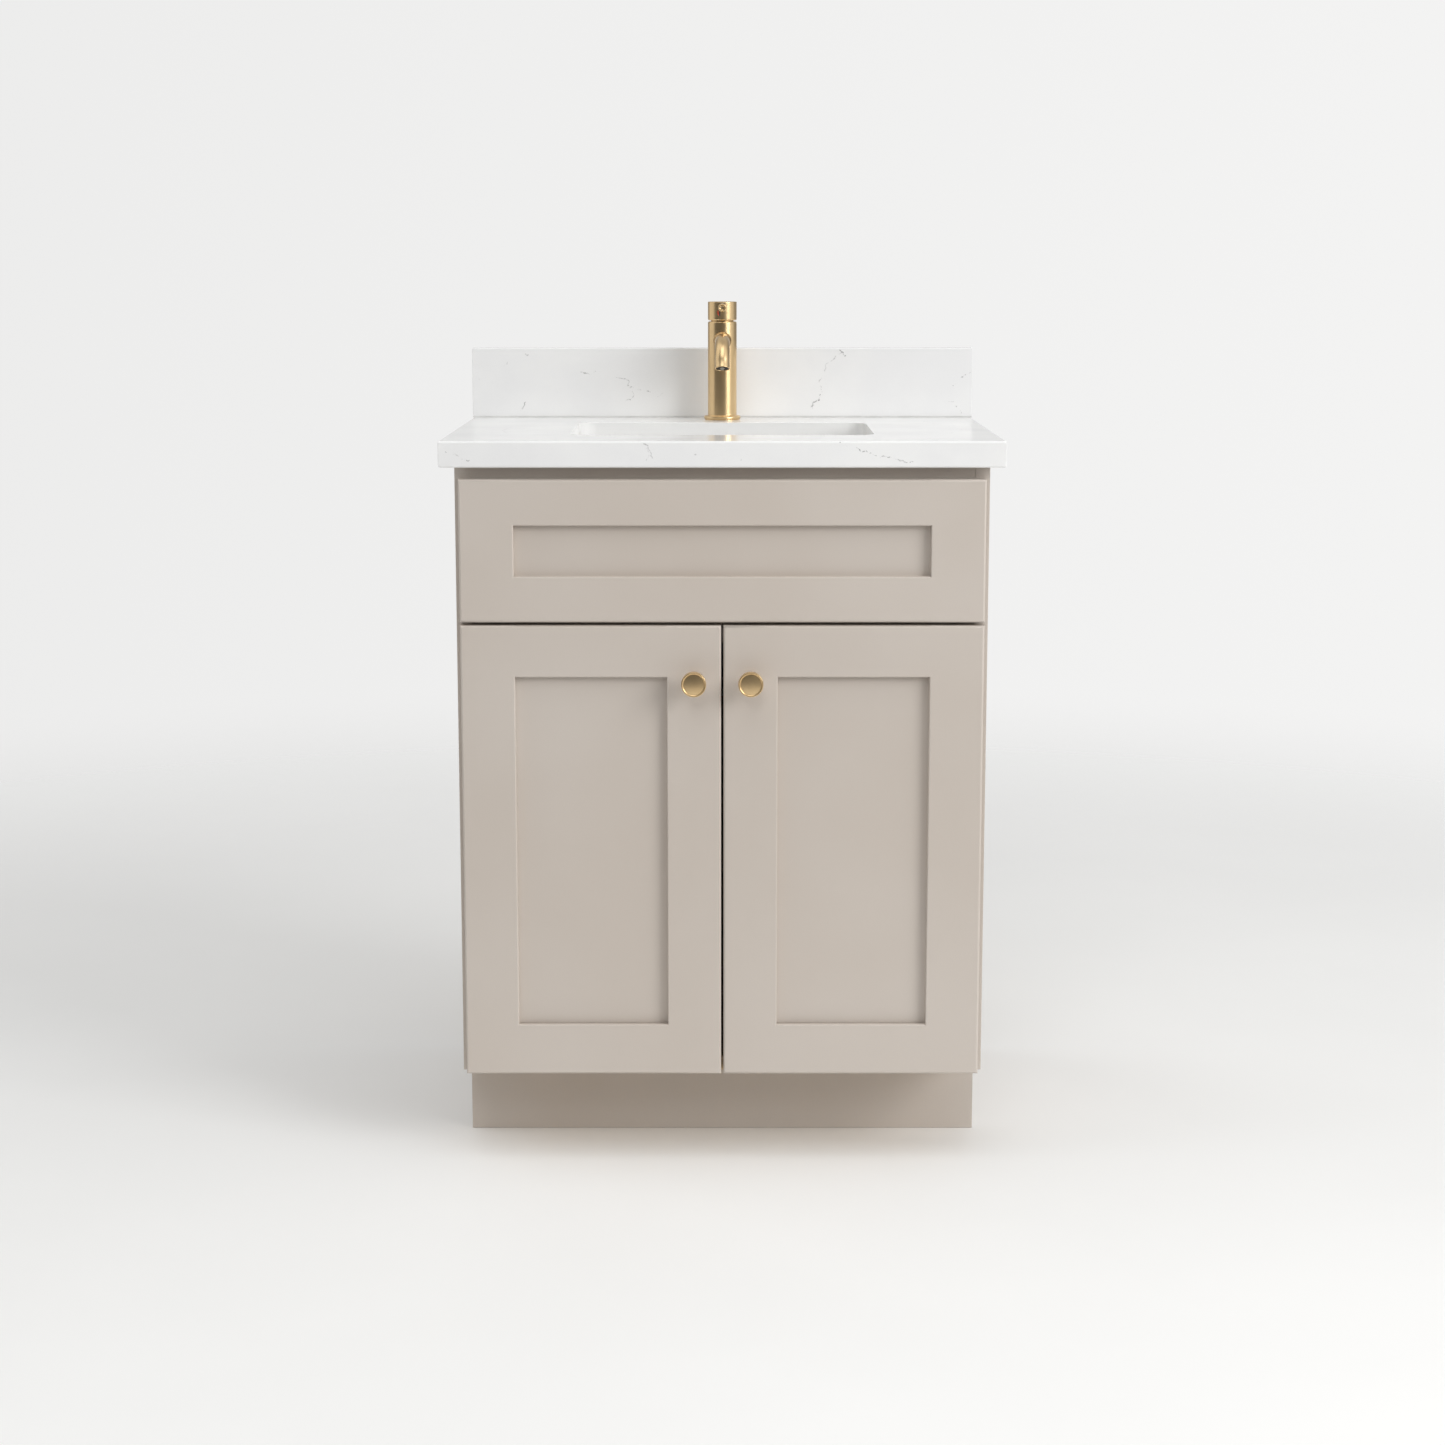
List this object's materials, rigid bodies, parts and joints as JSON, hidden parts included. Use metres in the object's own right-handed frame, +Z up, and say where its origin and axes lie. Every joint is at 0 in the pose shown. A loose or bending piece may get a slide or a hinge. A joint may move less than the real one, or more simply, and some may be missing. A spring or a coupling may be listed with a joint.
{
  "type": "bathroom vanity cabinet",
  "caption": "Frameless shaker vanity cabinet with paired doors, false drawer front, stone top with splash, undermount basin and a single-lever mixer.",
  "frame": {"origin": "middle of the bounding box footprint, on the floor", "axes": "+X to the right seen from the front, +Y to the wall, +Z up; the doors face -Y"},
  "size_m": [0.6414, 0.4936, 0.9926],
  "materials": {
    "painted_wood": "satin paint, warm greige",
    "carcass_board": "clear-coated veneer board",
    "quartz": "polished, fine grey veins",
    "basin_ceramic": "gloss glaze",
    "brushed_gold": "brushed gold plate",
    "hinge_steel": "nickel plate",
    "screw_steel": "zinc plate",
    "black_rubber": "matte",
    "clear_bumper": "soft clear",
    "white_plastic": "satin",
    "dark_plastic": "satin",
    "sealant": "silicone bead",
    "mark_enamel": "red and blue enamel"
  },
  "bodies": {
    "cabinet": {"back_panel": "carcass_board", "back_top_rail": "carcass_board", "backsplash": "quartz", "backsplash_sealant": "sealant", "bottom_panel": "carcass_board", "cartridge_body": "brushed_gold", "countertop": "quartz", "door_bumpers": "clear_bumper", "drain_body": "brushed_gold", "drain_gasket": "black_rubber", "drain_locknut": "white_plastic", "drain_tailpiece": "white_plastic", "false_front_bottom_rail": "painted_wood", "false_front_left_stile": "painted_wood", "false_front_panel": "painted_wood", "false_front_right_stile": "painted_wood", "false_front_screws": "screw_steel", "false_front_top_rail": "painted_wood", "faucet_base_ring": "brushed_gold", "faucet_body": "brushed_gold", "faucet_clamp_plate": "screw_steel", "faucet_nut": "screw_steel", "faucet_shank": "screw_steel", "faucet_spout": "brushed_gold", "front_mid_rail": "painted_wood", "front_top_rail": "painted_wood", "left_hinge_arms": "hinge_steel", "left_hinge_plates": "hinge_steel", "left_side_panel": "painted_wood", "overflow_ring": "brushed_gold", "right_hinge_arms": "hinge_steel", "right_hinge_plates": "hinge_steel", "right_side_panel": "painted_wood", "sink_basin": "basin_ceramic", "sink_clips": "screw_steel", "spout_aerator": "dark_plastic", "toe_kick_board": "painted_wood"},
    "left_hinge_link": {"left_hinge_links": "hinge_steel"},
    "left_door": {"left_door_bottom_rail": "painted_wood", "left_door_inner_stile": "painted_wood", "left_door_knob": "brushed_gold", "left_door_knob_screw": "screw_steel", "left_door_outer_stile": "painted_wood", "left_door_panel": "painted_wood", "left_door_top_rail": "painted_wood", "left_hinge_cups": "hinge_steel"},
    "right_hinge_link": {"right_hinge_links": "hinge_steel"},
    "right_door": {"right_door_bottom_rail": "painted_wood", "right_door_inner_stile": "painted_wood", "right_door_knob": "brushed_gold", "right_door_knob_screw": "screw_steel", "right_door_outer_stile": "painted_wood", "right_door_panel": "painted_wood", "right_door_top_rail": "painted_wood", "right_hinge_cups": "hinge_steel"},
    "faucet_cartridge": {"cartridge_stem": "white_plastic"},
    "faucet_handle": {"handle_cap": "brushed_gold", "handle_pin": "brushed_gold", "temperature_marks": "mark_enamel"},
    "drain_plug": {"drain_stopper": "brushed_gold"}
  },
  "joints": [
    {"name": "left_link_swing", "type": "hinge", "parent": "cabinet", "child": "left_hinge_link", "pos_m": [-0.2752, -0.2018, 0.369], "axis": [0, 0, 1], "range_deg": [0, 60]},
    {"name": "left_door_swing", "type": "hinge", "parent": "left_hinge_link", "child": "left_door", "pos_m": [-0.2908, -0.2028, 0.369], "axis": [0, 0, -1], "range_deg": [0, 155]},
    {"name": "right_link_swing", "type": "hinge", "parent": "cabinet", "child": "right_hinge_link", "pos_m": [0.2752, -0.2018, 0.369], "axis": [0, 0, -1], "range_deg": [0, 60]},
    {"name": "right_door_swing", "type": "hinge", "parent": "right_hinge_link", "child": "right_door", "pos_m": [0.2908, -0.2028, 0.369], "axis": [0, 0, 1], "range_deg": [0, 155]},
    {"name": "handle_swivel", "type": "hinge", "parent": "cabinet", "child": "faucet_cartridge", "pos_m": [0, 0.1852, 0.9644], "axis": [0, 0, 1], "range_deg": [-45, 45]},
    {"name": "handle_tilt", "type": "hinge", "parent": "faucet_cartridge", "child": "faucet_handle", "pos_m": [0, 0.1852, 0.9754], "axis": [-1, 0, 0], "range_deg": [0, 20]},
    {"name": "stopper_lift", "type": "slide", "parent": "cabinet", "child": "drain_plug", "axis": [0, 0, 1], "range_m": [0, 0.009]}
  ],
  "couplings": [
    {"joint": "left_link_swing", "follows": "left_door_swing", "ratio": 0.387},
    {"joint": "right_link_swing", "follows": "right_door_swing", "ratio": 0.387}
  ]
}
